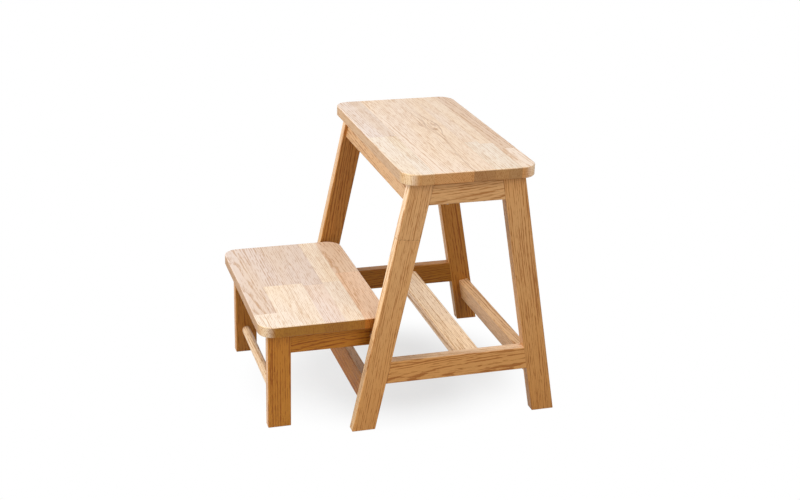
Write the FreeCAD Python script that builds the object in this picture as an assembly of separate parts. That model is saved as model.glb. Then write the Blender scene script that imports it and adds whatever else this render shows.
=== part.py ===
# Folding step stool: a slant-legged wooden stool whose lower step swings up and over into its frame.
# Frame: X across the stool, -Y towards the lower step, +Z up, floor at z = 0, all in millimetres.
# Until it is saved, every shape is measured from the middle of the seat, which is y = 0.
import FreeCAD, Part
import math
import os

V = FreeCAD.Vector
ACROSS = V(1, 0, 0)
ALONG = V(0, 1, 0)
UP = V(0, 0, 1)
SIDES = (("right", 1), ("left", -1))

# Seat
seat_height = 460.0
seat_width = 450.0
seat_depth = 230.0
board_thickness = 19.0
board_corner = 27.0
board_top_round = 1.5
board_under_chamfer = 1.5

# Splayed legs of the stool, with the outer line of each pair seen from the side
leg_width = 40.0
leg_thickness = 19.0
leg_top_y = 99.0
front_foot_y = 189.0
rear_foot_y = 180.0
seat_side_overhang = 18.0

# Rails of the two side frames
side_rail_height = 41.0
side_rail_thickness = 19.0

# Bars that join the two side frames, set back from the outer line of the legs
cross_bar_width = 40.0
cross_bar_thickness = 19.0
cross_bar_recess = 6.0
low_bar_top = 89.0
middle_bar_width = 42.0
middle_bar_thickness = 19.0
middle_bar_y = 26.0
middle_bar_drop = 10.8

# Lower step
tread_height = 197.0
tread_depth = 224.0
tread_side_gap = 7.5
tread_front_overhang = 16.0
tread_side_overhang = 20.0
step_leg_width = 40.0
step_leg_thickness = 19.0
step_rail_height = 40.0
step_rail_end_cut = 14.0
foot_bar_diameter = 16.0
foot_bar_height = 45.0
foot_bar_depth = 12.0

# Pivot of the lower step
pivot_drop = 22.0
pivot_diameter = 16.0
pivot_depth = 13.0
pivot_inset = leg_width / 2
rail_past_pivot = 19.75
spacer_diameter = 22.0

# Stub tenons on the ends of the bars
tenon_thickness = 9.0
tenon_shoulder = 8.0
side_tenon_depth = 17.0
cross_tenon_depth = 12.0
step_tenon_depth = 20.0

# Wood screws that hold the boards down from below
screw_diameter = 4.0
screw_head_diameter = 8.0
screw_head_height = 2.5
screw_bite = 12.0
seat_screw_y = 32.0
tread_screw_from_leg = 30.0
tread_screw_from_pivot = 43.0

# Edge roundings
long_edge_round = 2.5
joint_edge_round = 1.2
rail_edge_round = 2.0
foot_chamfer = 1.0
turned_chamfer = 1.0

# Clearances
glue_gap = 0.05
running_gap = 0.08
side_gap = 0.3
fold_gap = 0.3
end_gap = 0.5
tenon_root = 1.0

# How close two directions or heights must be to count as the same
same = 1e-6

# Levels and side faces that follow from the sizes above
under_seat = seat_height - board_thickness
leg_outer_x = seat_width / 2 - seat_side_overhang
leg_inner_x = leg_outer_x - leg_thickness
under_tread = tread_height - board_thickness
tread_width = 2 * (leg_inner_x - tread_side_gap)
step_outer_x = tread_width / 2 - tread_side_overhang
step_inner_x = step_outer_x - step_leg_thickness
pivot_height = under_tread - pivot_drop
folded_tread_level = 2 * pivot_height - tread_height
middle_bar_top = folded_tread_level - fold_gap
stretcher_top = middle_bar_top + middle_bar_drop
stretcher_bottom = stretcher_top - side_rail_height


class Slant:
    """The outer line of one pair of splayed legs, seen from the side."""

    def __init__(self, foot_y, top_y):
        run = top_y - foot_y
        length = math.hypot(run, under_seat)
        inner_side = 1 if foot_y < 0 else -1
        self.foot = V(0, foot_y, 0)
        self.up = V(0, run / length, under_seat / length)
        self.inward = V(0, inner_side * under_seat / length, -inner_side * run / length)

    def at(self, z, inset=0.0):
        """The point at height z on the line that runs inset inside the outer line."""
        start = self.foot + self.inward * inset
        return start + self.up * ((z - start.z) / self.up.z)

    def inset_of(self, point):
        return (point - self.foot).dot(self.inward)


front = Slant(-front_foot_y, -leg_top_y)
rear = Slant(rear_foot_y, leg_top_y)
ENDS = (("front", front), ("rear", rear))
pivot = front.at(pivot_height, pivot_inset)

# The lower step hangs on the pivot, so its places along the stool are counted from there
tread_rear_y = pivot.y + rail_past_pivot
tread_front_y = tread_rear_y - tread_depth
step_leg_front_y = tread_front_y + tread_front_overhang
step_leg_rear_y = step_leg_front_y + step_leg_width
origin_y = (rear_foot_y + tread_front_y) / 2


def outline_prism(points, x_start, x_end):
    """A solid with the given side outline, from one x to another."""
    corners = [V(x_start, point.y, point.z) for point in points]
    face = Part.Face(Part.makePolygon(corners + corners[:1]))
    return face.extrude(V(x_end - x_start, 0, 0))


def turned(profile, base, direction):
    """A turned solid: (radius, height) points spun round an axis from base along direction."""
    points = [V(radius, 0, height) for radius, height in profile]
    face = Part.Face(Part.makePolygon(points + points[:1]))
    solid = face.revolve(V(0, 0, 0), UP, 360)
    solid.Placement = FreeCAD.Placement(base, FreeCAD.Rotation(UP, direction))
    return solid


def rod(diameter, length, chamfer, base, direction):
    """A round rod with a chamfer at each end."""
    radius = diameter / 2
    profile = [(0, 0), (radius - chamfer, 0), (radius, chamfer), (radius, length - chamfer),
               (radius - chamfer, length), (0, length)]
    return turned(profile, base, direction)


def eased(shape, radius, wanted):
    """The shape with a rounding on each edge that the test picks."""
    edges = [edge for edge in shape.Edges if wanted(edge)]
    return shape.makeFillet(radius, edges)


def foot_chamfered(shape):
    """The shape with its rim at the floor chamfered."""
    rim = [edge for edge in shape.Edges if lies_at(edge, 0)]
    return shape.makeChamfer(foot_chamfer, rim)


def middle_of(edge):
    return edge.valueAt((edge.FirstParameter + edge.LastParameter) / 2)


def runs_along(edge, direction):
    """Whether an edge is straight and parallel to the direction."""
    if edge.Curve.TypeId != "Part::GeomLine":
        return False
    return edge.tangentAt(edge.FirstParameter).cross(direction).Length < same


def lies_at(edge, z):
    """Whether both ends and the middle of an edge are at height z."""
    heights = [vertex.Z for vertex in edge.Vertexes] + [middle_of(edge).z]
    return all(abs(height - z) < same for height in heights)


def board(width, depth, centre_y, top):
    """A solid wood board with round corners in plan and eased upper and lower edges."""
    bottom = top - board_thickness
    blank = Part.makeBox(width, depth, board_thickness, V(-width / 2, centre_y - depth / 2, bottom))
    blank = eased(blank, board_corner, lambda edge: runs_along(edge, UP))
    blank = eased(blank, board_top_round, lambda edge: lies_at(edge, top))
    return blank.makeChamfer(board_under_chamfer, [edge for edge in blank.Edges if lies_at(edge, bottom)])


def leg(slant, side):
    """A splayed leg, cut level at the floor and under the seat."""
    outline = [slant.at(0), slant.at(under_seat), slant.at(under_seat, leg_width), slant.at(0, leg_width)]
    blank = foot_chamfered(outline_prism(outline, side * leg_inner_x, side * leg_outer_x))

    def outer(edge):
        return runs_along(edge, slant.up) and slant.inset_of(middle_of(edge)) < leg_width / 2

    def inner(edge):
        return runs_along(edge, slant.up) and slant.inset_of(middle_of(edge)) > leg_width / 2

    return eased(eased(blank, long_edge_round, outer), joint_edge_round, inner)


def side_rail(bottom, top, side, rounded_levels):
    """A rail of a side frame, its ends cut to the slant of the legs."""
    outline = [front.at(bottom, leg_width), front.at(top, leg_width),
               rear.at(top, leg_width), rear.at(bottom, leg_width)]
    blank = outline_prism(outline, side * (leg_outer_x - side_rail_thickness), side * leg_outer_x)

    def wanted(edge):
        return runs_along(edge, ALONG) and any(lies_at(edge, level) for level in rounded_levels)

    return eased(blank, rail_edge_round, wanted)


def cross_apron(slant):
    """A bar under the seat between two legs, in line with their slant, its top planed level."""
    inner = cross_bar_recess + cross_bar_thickness
    outer_top = slant.at(under_seat, cross_bar_recess)
    outer_bottom = outer_top - slant.up * cross_bar_width
    inner_bottom = outer_bottom + slant.inward * cross_bar_thickness
    outline = [outer_top, slant.at(under_seat, inner), inner_bottom, outer_bottom]
    blank = outline_prism(outline, -leg_inner_x, leg_inner_x)

    def below_seat(edge):
        return runs_along(edge, ACROSS) and not lies_at(edge, under_seat)

    return eased(blank, rail_edge_round, below_seat)


def low_bar(slant):
    """A bar near the floor between two legs, in line with their slant."""
    outer_top = slant.at(low_bar_top, cross_bar_recess)
    inner_top = outer_top + slant.inward * cross_bar_thickness
    drop = slant.up * cross_bar_width
    outline = [outer_top, inner_top, inner_top - drop, outer_top - drop]
    blank = outline_prism(outline, -leg_inner_x, leg_inner_x)
    return eased(blank, rail_edge_round, lambda edge: runs_along(edge, ACROSS))


def middle_bar():
    """The flat bar between the side stretchers that carries the folded step."""
    length = 2 * (leg_outer_x - side_rail_thickness)
    corner = V(-length / 2, middle_bar_y - middle_bar_width / 2, middle_bar_top - middle_bar_thickness)
    blank = Part.makeBox(length, middle_bar_width, middle_bar_thickness, corner)
    return eased(blank, rail_edge_round, lambda edge: runs_along(edge, ACROSS))


def step_leg(side):
    """An upright leg of the lower step."""
    outline = [V(0, step_leg_front_y, 0), V(0, step_leg_front_y, under_tread),
               V(0, step_leg_rear_y, under_tread), V(0, step_leg_rear_y, 0)]
    blank = foot_chamfered(outline_prism(outline, side * step_inner_x, side * step_outer_x))
    middle_y = (step_leg_front_y + step_leg_rear_y) / 2

    def front_edge(edge):
        return runs_along(edge, UP) and middle_of(edge).y < middle_y

    def rear_edge(edge):
        return runs_along(edge, UP) and middle_of(edge).y > middle_y

    return eased(eased(blank, long_edge_round, front_edge), joint_edge_round, rear_edge)


def step_rail(side):
    """A side rail of the lower step, its lower rear corner cut off where it turns on the pivot."""
    bottom = under_tread - step_rail_height
    outline = [V(0, step_leg_rear_y, bottom), V(0, step_leg_rear_y, under_tread),
               V(0, tread_rear_y, under_tread), V(0, tread_rear_y, bottom + step_rail_end_cut),
               V(0, tread_rear_y - step_rail_end_cut, bottom)]
    blank = outline_prism(outline, side * step_inner_x, side * step_outer_x)
    return eased(blank, rail_edge_round, lambda edge: runs_along(edge, ALONG) and lies_at(edge, bottom))


def foot_bar():
    """The round bar between the legs of the step."""
    reach = step_inner_x + foot_bar_depth - end_gap
    base = V(-reach, (step_leg_front_y + step_leg_rear_y) / 2, foot_bar_height)
    return rod(foot_bar_diameter, 2 * reach, turned_chamfer, base, ACROSS)


def pivot_rod():
    """The round rod that the step turns on, its ends in blind bores in the front legs."""
    reach = leg_inner_x + pivot_depth - end_gap
    return rod(pivot_diameter, 2 * reach, turned_chamfer, V(-reach, pivot.y, pivot.z), ACROSS)


def pivot_spacer(side):
    """A turned ring on the pivot rod that keeps the step midway between the legs."""
    bore = pivot_diameter / 2 + glue_gap
    outer = spacer_diameter / 2
    length = leg_inner_x - step_outer_x - side_gap
    profile = [(bore, 0), (outer, 0), (outer, length), (bore, length)]
    return turned(profile, V(side * step_outer_x, pivot.y, pivot.z), ACROSS * side)


def cut_bore(node, diameter, depth, base, direction):
    """Takes a round hole out of a piece."""
    pieces[node] = pieces[node].cut(Part.makeCylinder(diameter / 2, depth, base, direction))


def tenon_block(centre, along, across, width, thickness, depth):
    """A rectangular block that starts at a centre and runs along one direction, its width across."""
    half_width = across * (width / 2)
    half_thickness = along.cross(across) * (thickness / 2)
    corners = [centre + half_width + half_thickness, centre - half_width + half_thickness,
               centre - half_width - half_thickness, centre + half_width - half_thickness]
    face = Part.Face(Part.makePolygon(corners + corners[:1]))
    return face.extrude(along * depth)


def join_with_tenon(bar, post, centre, along, across, bar_width, depth):
    """A stub tenon on the end of a bar, and its mortise in the piece that the bar meets."""
    width = bar_width - 2 * tenon_shoulder
    root = centre - along * tenon_root
    tenon = tenon_block(root, along, across, width, tenon_thickness, depth - end_gap + tenon_root)
    mortise = tenon_block(centre, along, across, width + 2 * glue_gap, tenon_thickness + 2 * glue_gap, depth)
    pieces[bar] = pieces[bar].fuse(tenon).removeSplitter()
    pieces[post] = pieces[post].cut(mortise)


def drive_screw(group, bar, panel, base, bar_height):
    """One screw up through a bar into the board above, its flat head against the bar from below."""
    length = bar_height + screw_bite
    shank = screw_diameter / 2
    head = screw_head_diameter / 2
    profile = [(0, -screw_head_height), (head, -screw_head_height), (head, 0), (shank, 0),
               (shank, length), (0, length)]
    for node in (bar, panel):
        cut_bore(node, screw_diameter + 2 * glue_gap, length + end_gap, base, UP)
    pieces.setdefault(group, []).append(turned(profile, base, UP))


def make_boards():
    pieces["seat"] = board(seat_width, seat_depth, 0, seat_height)
    pieces["step_tread"] = board(tread_width, tread_depth, (tread_rear_y + tread_front_y) / 2, tread_height)


def make_stool_frame():
    for side_name, side in SIDES:
        for end_name, slant in ENDS:
            pieces[f"{end_name}_leg_{side_name}"] = leg(slant, side)
        pieces[f"side_apron_{side_name}"] = side_rail(
            under_seat - side_rail_height, under_seat, side, [under_seat - side_rail_height])
        pieces[f"side_stretcher_{side_name}"] = side_rail(
            stretcher_bottom, stretcher_top, side, [stretcher_bottom, stretcher_top])
    for end_name, slant in ENDS:
        pieces[f"{end_name}_apron"] = cross_apron(slant)
        pieces[f"{end_name}_stretcher"] = low_bar(slant)
    pieces["middle_stretcher"] = middle_bar()


def make_step():
    for side_name, side in SIDES:
        pieces[f"step_leg_{side_name}"] = step_leg(side)
        pieces[f"step_rail_{side_name}"] = step_rail(side)
    pieces["pivot_spacers"] = [pivot_spacer(side) for side_name, side in SIDES]
    pieces["step_foot_bar"] = foot_bar()
    pieces["pivot_rod"] = pivot_rod()


def join_side_frames():
    """Tenons at both ends of each apron and stretcher of the side frames."""
    levels = (("side_apron", under_seat - side_rail_height / 2),
              ("side_stretcher", stretcher_bottom + side_rail_height / 2))
    for side_name, side in SIDES:
        x = side * (leg_outer_x - leg_thickness / 2)
        for bar_name, middle in levels:
            for end_name, slant in ENDS:
                centre = slant.at(middle, leg_width) + V(x, 0, 0)
                join_with_tenon(f"{bar_name}_{side_name}", f"{end_name}_leg_{side_name}", centre,
                                slant.inward * -1, slant.up, side_rail_height, side_tenon_depth)


def join_cross_bars():
    """Tenons at both ends of each bar that joins the two side frames."""
    for side_name, side in SIDES:
        outward = ACROSS * side
        for end_name, slant in ENDS:
            for bar_name, top in (("apron", under_seat), ("stretcher", low_bar_top)):
                outer_middle = slant.at(top, cross_bar_recess) - slant.up * (cross_bar_width / 2)
                centre = outer_middle + slant.inward * (cross_bar_thickness / 2) + outward * leg_inner_x
                join_with_tenon(f"{end_name}_{bar_name}", f"{end_name}_leg_{side_name}", centre,
                                outward, slant.up, cross_bar_width, cross_tenon_depth)
        centre = V(side * (leg_outer_x - side_rail_thickness), middle_bar_y,
                   middle_bar_top - middle_bar_thickness / 2)
        join_with_tenon("middle_stretcher", f"side_stretcher_{side_name}", centre,
                        outward, ALONG, middle_bar_width, cross_tenon_depth)


def join_step():
    """A tenon between each side rail of the step and its leg."""
    for side_name, side in SIDES:
        centre = V(side * (step_outer_x - step_leg_thickness / 2), step_leg_rear_y,
                   under_tread - step_rail_height / 2)
        join_with_tenon(f"step_rail_{side_name}", f"step_leg_{side_name}", centre,
                        ALONG * -1, UP, step_rail_height, step_tenon_depth)


def bore_for_round_bars():
    """Blind bores for the foot bar, through bores for the pivot rod, and its blind bores in the legs."""
    leg_middle_y = (step_leg_front_y + step_leg_rear_y) / 2
    for side_name, side in SIDES:
        outward = ACROSS * side
        cut_bore(f"step_leg_{side_name}", foot_bar_diameter + 2 * glue_gap, foot_bar_depth,
                 V(side * step_inner_x, leg_middle_y, foot_bar_height), outward)
        cut_bore(f"step_rail_{side_name}", pivot_diameter + 2 * glue_gap, step_leg_thickness,
                 V(side * step_inner_x, pivot.y, pivot.z), outward)
        cut_bore(f"front_leg_{side_name}", pivot_diameter + 2 * running_gap, pivot_depth,
                 V(side * leg_inner_x, pivot.y, pivot.z), outward)


def screw_boards():
    """Screws up through the aprons into the seat, and up through the step's rails into its tread."""
    for side_name, side in SIDES:
        for y in (-seat_screw_y, seat_screw_y):
            base = V(side * (leg_outer_x - side_rail_thickness / 2), y, under_seat - side_rail_height)
            drive_screw("seat_screws", f"side_apron_{side_name}", "seat", base, side_rail_height)
        for y in (step_leg_rear_y + tread_screw_from_leg, pivot.y - tread_screw_from_pivot):
            base = V(side * (step_outer_x - step_leg_thickness / 2), y, under_tread - step_rail_height)
            drive_screw("tread_screws", f"step_rail_{side_name}", "step_tread", base, step_rail_height)


def save_pieces():
    """One file for each piece or group of like pieces, moved so that y = 0 is midway along the stool."""
    os.makedirs("parts", exist_ok=True)
    for node, shape in pieces.items():
        if isinstance(shape, list):
            shape = Part.makeCompound(shape)
        shape = shape.copy()
        shape.translate(V(0, -origin_y, 0))
        shape.exportStep(f"parts/{node}.step")


pieces = {}
make_boards()
make_stool_frame()
make_step()
join_side_frames()
join_cross_bars()
join_step()
bore_for_round_bars()
screw_boards()
save_pieces()
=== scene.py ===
"""Folding step stool in oiled oak: its bars, its two edge-glued boards and its screws, on a pale floor."""

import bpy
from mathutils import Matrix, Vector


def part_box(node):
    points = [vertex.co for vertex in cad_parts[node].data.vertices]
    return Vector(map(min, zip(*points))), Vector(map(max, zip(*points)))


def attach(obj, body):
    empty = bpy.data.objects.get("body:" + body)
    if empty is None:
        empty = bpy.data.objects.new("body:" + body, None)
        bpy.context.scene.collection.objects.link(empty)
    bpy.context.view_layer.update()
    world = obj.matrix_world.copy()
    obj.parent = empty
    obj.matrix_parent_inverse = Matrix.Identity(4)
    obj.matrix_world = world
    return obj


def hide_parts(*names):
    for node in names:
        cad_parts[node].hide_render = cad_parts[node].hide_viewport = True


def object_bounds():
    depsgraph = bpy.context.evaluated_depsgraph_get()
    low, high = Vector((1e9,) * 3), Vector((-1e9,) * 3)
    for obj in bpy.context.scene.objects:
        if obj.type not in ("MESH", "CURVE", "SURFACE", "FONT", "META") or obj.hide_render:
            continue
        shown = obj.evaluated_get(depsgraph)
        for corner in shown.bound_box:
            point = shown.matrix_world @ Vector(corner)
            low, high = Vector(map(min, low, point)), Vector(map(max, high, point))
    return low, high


bl_info = {
    "name": "Folding Step Stool",
    "version": (1, 0, 0),
    "blender": (4, 5, 0),
    "location": "3D View > Sidebar > Step Stool",
    "description": "Oak finish, edge-glued boards and screws of a folding step stool, with its stage",
    "category": "Object",
}

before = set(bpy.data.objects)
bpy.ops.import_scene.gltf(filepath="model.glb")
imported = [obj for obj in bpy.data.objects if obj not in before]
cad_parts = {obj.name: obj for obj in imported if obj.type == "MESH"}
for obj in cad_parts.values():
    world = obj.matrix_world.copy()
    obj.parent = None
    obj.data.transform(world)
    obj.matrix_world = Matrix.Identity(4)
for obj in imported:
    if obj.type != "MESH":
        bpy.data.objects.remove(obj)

import random
from collections import namedtuple
from math import cos, pi, radians, sin

import bmesh
import bpy
from bpy.props import FloatProperty, FloatVectorProperty, IntProperty, PointerProperty
from mathutils import Matrix, Vector

CAD_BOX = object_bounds()
STOOL, STEP = "stool", "step"
ACROSS, ALONG, UP = Vector((1, 0, 0)), Vector((0, 1, 0)), Vector((0, 0, 1))
WHITE = (1.0, 1.0, 1.0, 1.0)

# A way that oak can look on a face: how strong its lines are, how wide a year's growth is, how much the
# trunk tapers (which draws the lines into points) and how far the grain wanders from a straight line.
Figure = namedtuple("Figure", "contrast ring taper waviness")
FIGURES = {
    "plain": Figure(2.6, 0.0026, 0.015, 0.006),
    "quiet": Figure(1.9, 0.0032, 0.006, 0.004),
    "striped": Figure(3.2, 0.0038, 0.002, 0.002),
    "flamed": Figure(4.6, 0.0022, 0.018, 0.009),
    "leafy": Figure(2.4, 0.0023, 0.024, 0.008),
}

# A bar's look: the way that its grain runs, the way that its wide face looks, how light it is, how warm (or
# below 0 how pale) its colour is, how near its narrow faces come to the edge colour (partly their own
# quarter-sawn look, partly a painted highlight where light falls on them), the angle between the wide face
# and the rings (0 is flat sawn, 90 is quarter sawn), how far the grain runs out in degrees, and its figure.
Bar = namedtuple("Bar", "node run wide light warm edge sawn runout figure")

# How much of the floor a slanted leg's foot takes up, along the stool.
FOOT_LENGTH = 0.0408


def leg_run(node, leans_back):
    """The way that a slanted leg runs, from its foot to its head."""
    low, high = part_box(node)
    reach = high.y - low.y - FOOT_LENGTH
    return Vector((0, reach if leans_back else -reach, high.z - low.z)).normalized()


# Most bars on the far side are darker and redder than those on the near side: partly their own wood, partly
# painted shade for the shade that they stand in under the stool.
LEGS = (
    Bar("front_leg_right", leg_run("front_leg_right", True), ACROSS, 1.10, 0.15, 1.0, 62, 2.0, "plain"),
    Bar("front_leg_left", leg_run("front_leg_left", True), ACROSS, 1.00, 0.75, 0.7, 35, 1.5, "plain"),
    Bar("rear_leg_right", leg_run("rear_leg_right", False), ACROSS, 1.06, 0.35, 0.2, 55, -2.0, "plain"),
    Bar("rear_leg_left", leg_run("rear_leg_left", False), ACROSS, 0.88, 0.85, 0.4, 65, 0.8, "striped"),
)
APRONS = (
    Bar("side_apron_right", ALONG, ACROSS, 1.04, 0.05, 0.2, 28, 1.0, "leafy"),
    Bar("side_apron_left", ALONG, ACROSS, 1.0, 0.3, 0.2, 40, 1.0, "plain"),
    # Painted shade: the front apron is made darker for the shade under the seat's overhang.
    Bar("front_apron", ACROSS, ALONG, 0.83, -0.1, 0.2, 30, 0.8, "plain"),
    Bar("rear_apron", ACROSS, ALONG, 0.98, 0.2, 0.2, 75, 0.5, "plain"),
)
STRETCHERS = (
    Bar("side_stretcher_right", ALONG, ACROSS, 1.12, 0.6, 0.85, 20, 0.6, "flamed"),
    Bar("side_stretcher_left", ALONG, ACROSS, 0.70, 1.05, 0.2, 45, 1.4, "plain"),
    Bar("middle_stretcher", ACROSS, UP, 1.2, -1.0, 0.6, 78, 0.6, "quiet"),
    Bar("rear_stretcher", ACROSS, ALONG, 0.98, -0.1, 0.2, 55, 0.7, "plain"),
    Bar("front_stretcher", ACROSS, ALONG, 0.98, 1.1, 1.0, 65, 0.9, "plain"),
)
STEP_BARS = (
    Bar("step_leg_right", UP, ACROSS, 0.98, 1.0, 0.5, 72, 0.6, "striped"),
    Bar("step_leg_left", UP, ACROSS, 0.90, 0.95, 0.3, 25, 1.6, "plain"),
    Bar("step_rail_right", ALONG, ACROSS, 0.90, 1.05, 0.2, 35, 1.2, "flamed"),
    Bar("step_rail_left", ALONG, ACROSS, 0.90, 0.9, 0.2, 35, 1.1, "plain"),
)
ROUND_BARS = (
    Bar("step_foot_bar", ACROSS, UP, 1.0, 0.0, 0.0, 40, 0.8, "quiet"),
    Bar("pivot_rod", ACROSS, UP, 0.98, 0.2, 0.0, 60, 0.6, "quiet"),
    Bar("pivot_spacers", ACROSS, UP, 0.96, 0.3, 0.0, 50, 1.0, "quiet"),
)
# Height above the floor of the finger joint in a leg that is glued up from two lengths.
FINGER_JOINTS = {"front_leg_right": 0.345}

# The staves of each board, from its back edge to its front edge. Each row is as wide as its first number
# says, and the last takes what is left. A row's staves follow from left to right: a tone, how the stave is
# sawn, the place of its right end, measured from the middle of the board, and its figure. BOARD_END is past
# the end of any board, so it stands for the board's own end.
BOARD_END = 1.0
SEAT_STAVES = (
    (0.0305, (("tan", 30, 0.120, "plain"), ("blush", 20, BOARD_END, "plain"))),
    (0.0220, (("blush", 65, 0.087, "plain"), ("cream", 75, BOARD_END, "quiet"))),
    (0.0240, (("blush", 80, 0.073, "quiet"), ("cream", 70, BOARD_END, "quiet"))),
    (0.0360, (("blush", 70, BOARD_END, "quiet"),)),
    (0.0670, (("blush", 50, BOARD_END, "plain"),)),
    (0.0210, (("rose", 75, 0.011, "quiet"), ("cream", 60, BOARD_END, "plain"))),
    (0.0295, (("rose", 40, 0.011, "plain"), ("cream", 85, BOARD_END, "plain"))),
)
TREAD_STAVES = (
    (0.0453, (("tan", 25, -0.024, "leafy"), ("amber", 80, BOARD_END, "striped"))),
    (0.0328, (("cream", 70, 0.013, "quiet"), ("cream", 80, BOARD_END, "quiet"))),
    (0.0360, (("grey", 60, 0.0195, "plain"), ("rose", 75, BOARD_END, "quiet"))),
    (0.0703, (("grey", 55, 0.0086, "striped"), ("cream", 85, BOARD_END, "quiet"))),
    (0.0396, (("grey", 20, 0.1226, "leafy"), ("cream", 65, BOARD_END, "plain"))),
)

# A knot in a board: its middle, how far it bends the grain along and across, and the two radii of its dark
# core.
Knot = namedtuple("Knot", "x y reach width core_length core_width")
# A dark line along the grain: its place across the board, how far it bows, where and over what length, and
# how dark it is there. It fades out over twice that length.
Vein = namedtuple("Vein", "y rise x reach dark")

# A board: its name here, the node that it replaces, its body, its staves, its knots and veins, and what its
# long sides and its end grain leave of the colour of its top. The long sides' darkness is partly painted
# shade, which stands in for the sheen on the top.
Board = namedtuple("Board", "name node body rows knots veins side_tint end_tint")
SEAT = Board(
    "seat_board", "seat", STOOL, SEAT_STAVES,
    (
        Knot(-0.040, 0.102, 0.045, 0.013, 0.020, 0.0090),
        Knot(-0.014, 0.096, 0.024, 0.009, 0.014, 0.0070),
        Knot(-0.050, 0.080, 0.030, 0.008, 0.018, 0.0055),
        Knot(0.008, 0.009, 0.012, 0.006, 0.006, 0.0038),
    ),
    (
        Vein(0.083, 0.010, 0.010, 0.110, 0.45),
        Vein(0.0945, 0.0145, -0.035, 0.052, 0.6),
        Vein(0.0945, -0.0085, -0.025, 0.050, 0.5),
    ),
    (0.60, 0.46, 0.29),
    (0.58, 0.36, 0.165),
)
TREAD = Board(
    "tread_board", "step_tread", STEP, TREAD_STAVES,
    (),
    (),
    (0.55, 0.38, 0.20),
    (0.54, 0.275, 0.045),
)


def colour_setting(name, description, default):
    """A colour that a user can change."""
    return FloatVectorProperty(
        name=name, description=description, subtype="COLOR", default=default, min=0.0, max=1.0)


def length_setting(name, description, default, least=0.0):
    """A length that a user can change."""
    return FloatProperty(name=name, description=description, default=default, min=least, unit="LENGTH")


def share_setting(name, description, default):
    """A share, from 0 to 1, that a user can change."""
    return FloatProperty(
        name=name, description=description, default=default, min=0.0, max=1.0, subtype="FACTOR")


class OakSettings(bpy.types.PropertyGroup):
    """Colour and figure of the oak bars."""

    colour: colour_setting("Bar colour", "Late wood of a bar under oil", (0.68, 0.395, 0.18))
    warm_colour: colour_setting("Warm colour", "Late wood of the reddest bars", (0.55, 0.22, 0.028))
    pale_colour: colour_setting("Pale colour", "Late wood of the palest bars", (0.80, 0.625, 0.45))
    # Narrow faces come paler partly from their own quarter-sawn look and partly as a painted highlight
    # where light falls on them.
    edge_and_highlight_colour: colour_setting("Edge colour", "Palest narrow faces of the bars", (0.80, 0.585, 0.39))
    round_colour: colour_setting("Round bar colour", "Late wood of the turned bars", (0.74, 0.56, 0.39))
    ring_tint: colour_setting("Ring tint", "What early wood leaves of a bar's colour", (0.60, 0.45, 0.30))
    # A leg's colour goes darker and redder towards its foot.
    foot_darkening: share_setting("Foot darkening", "How much warmer a leg's wood is at its foot", 0.5)
    roughness: share_setting("Roughness", "Roughness of the oiled face between the pores", 0.42)
    pore_depth: length_setting("Pore depth", "Depth of the open pores", 0.00012)


class BoardSettings(bpy.types.PropertyGroup):
    """Edges and stave tones of the seat and the tread."""

    corner: length_setting("Corner radius", "Radius of a board's corners seen from above", 0.027)
    top_round: length_setting("Top rounding", "Radius along the upper edge", 0.0015)
    under_chamfer: length_setting("Under chamfer", "Chamfer along the lower edge", 0.0015)
    seam: length_setting("Glue line", "Width of the line between two staves", 0.00025)
    corner_steps: IntProperty(
        name="Corner steps", description="Faces round one corner", default=14, min=2, max=64)
    edge_steps: IntProperty(
        name="Edge steps", description="Faces round the upper edge", default=6, min=1, max=16)
    cream: colour_setting("Cream", "Palest staves", (0.92, 0.79, 0.66))
    blush: colour_setting("Blush", "Pinkish staves", (0.92, 0.75, 0.61))
    rose: colour_setting("Rose", "Staves between pink and grey", (0.86, 0.72, 0.635))
    grey: colour_setting("Grey", "Greyish staves", (0.775, 0.64, 0.56))
    tan: colour_setting("Tan", "Darkest staves", (0.80, 0.60, 0.455))
    amber: colour_setting("Amber", "Orange staves", (0.87, 0.63, 0.47))
    ring_tint: colour_setting("Stave ring tint", "What early wood leaves of it", (0.74, 0.60, 0.47))


class ScrewSettings(bpy.types.PropertyGroup):
    """Sizes of the wood screws."""

    head_diameter: length_setting("Head diameter", "Diameter of the head", 0.008, 0.001)
    head_height: length_setting("Head height", "Height of the head", 0.0025, 0.0002)
    shank_diameter: length_setting("Shank diameter", "Diameter of the shank", 0.004, 0.0005)
    pitch: length_setting("Thread pitch", "Rise of the thread in one turn", 0.0018, 0.0002)
    recess: length_setting("Recess", "Width of the cross for the driver", 0.0042)
    colour: colour_setting("Zinc", "Colour of the plating", (0.62, 0.62, 0.60))


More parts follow.
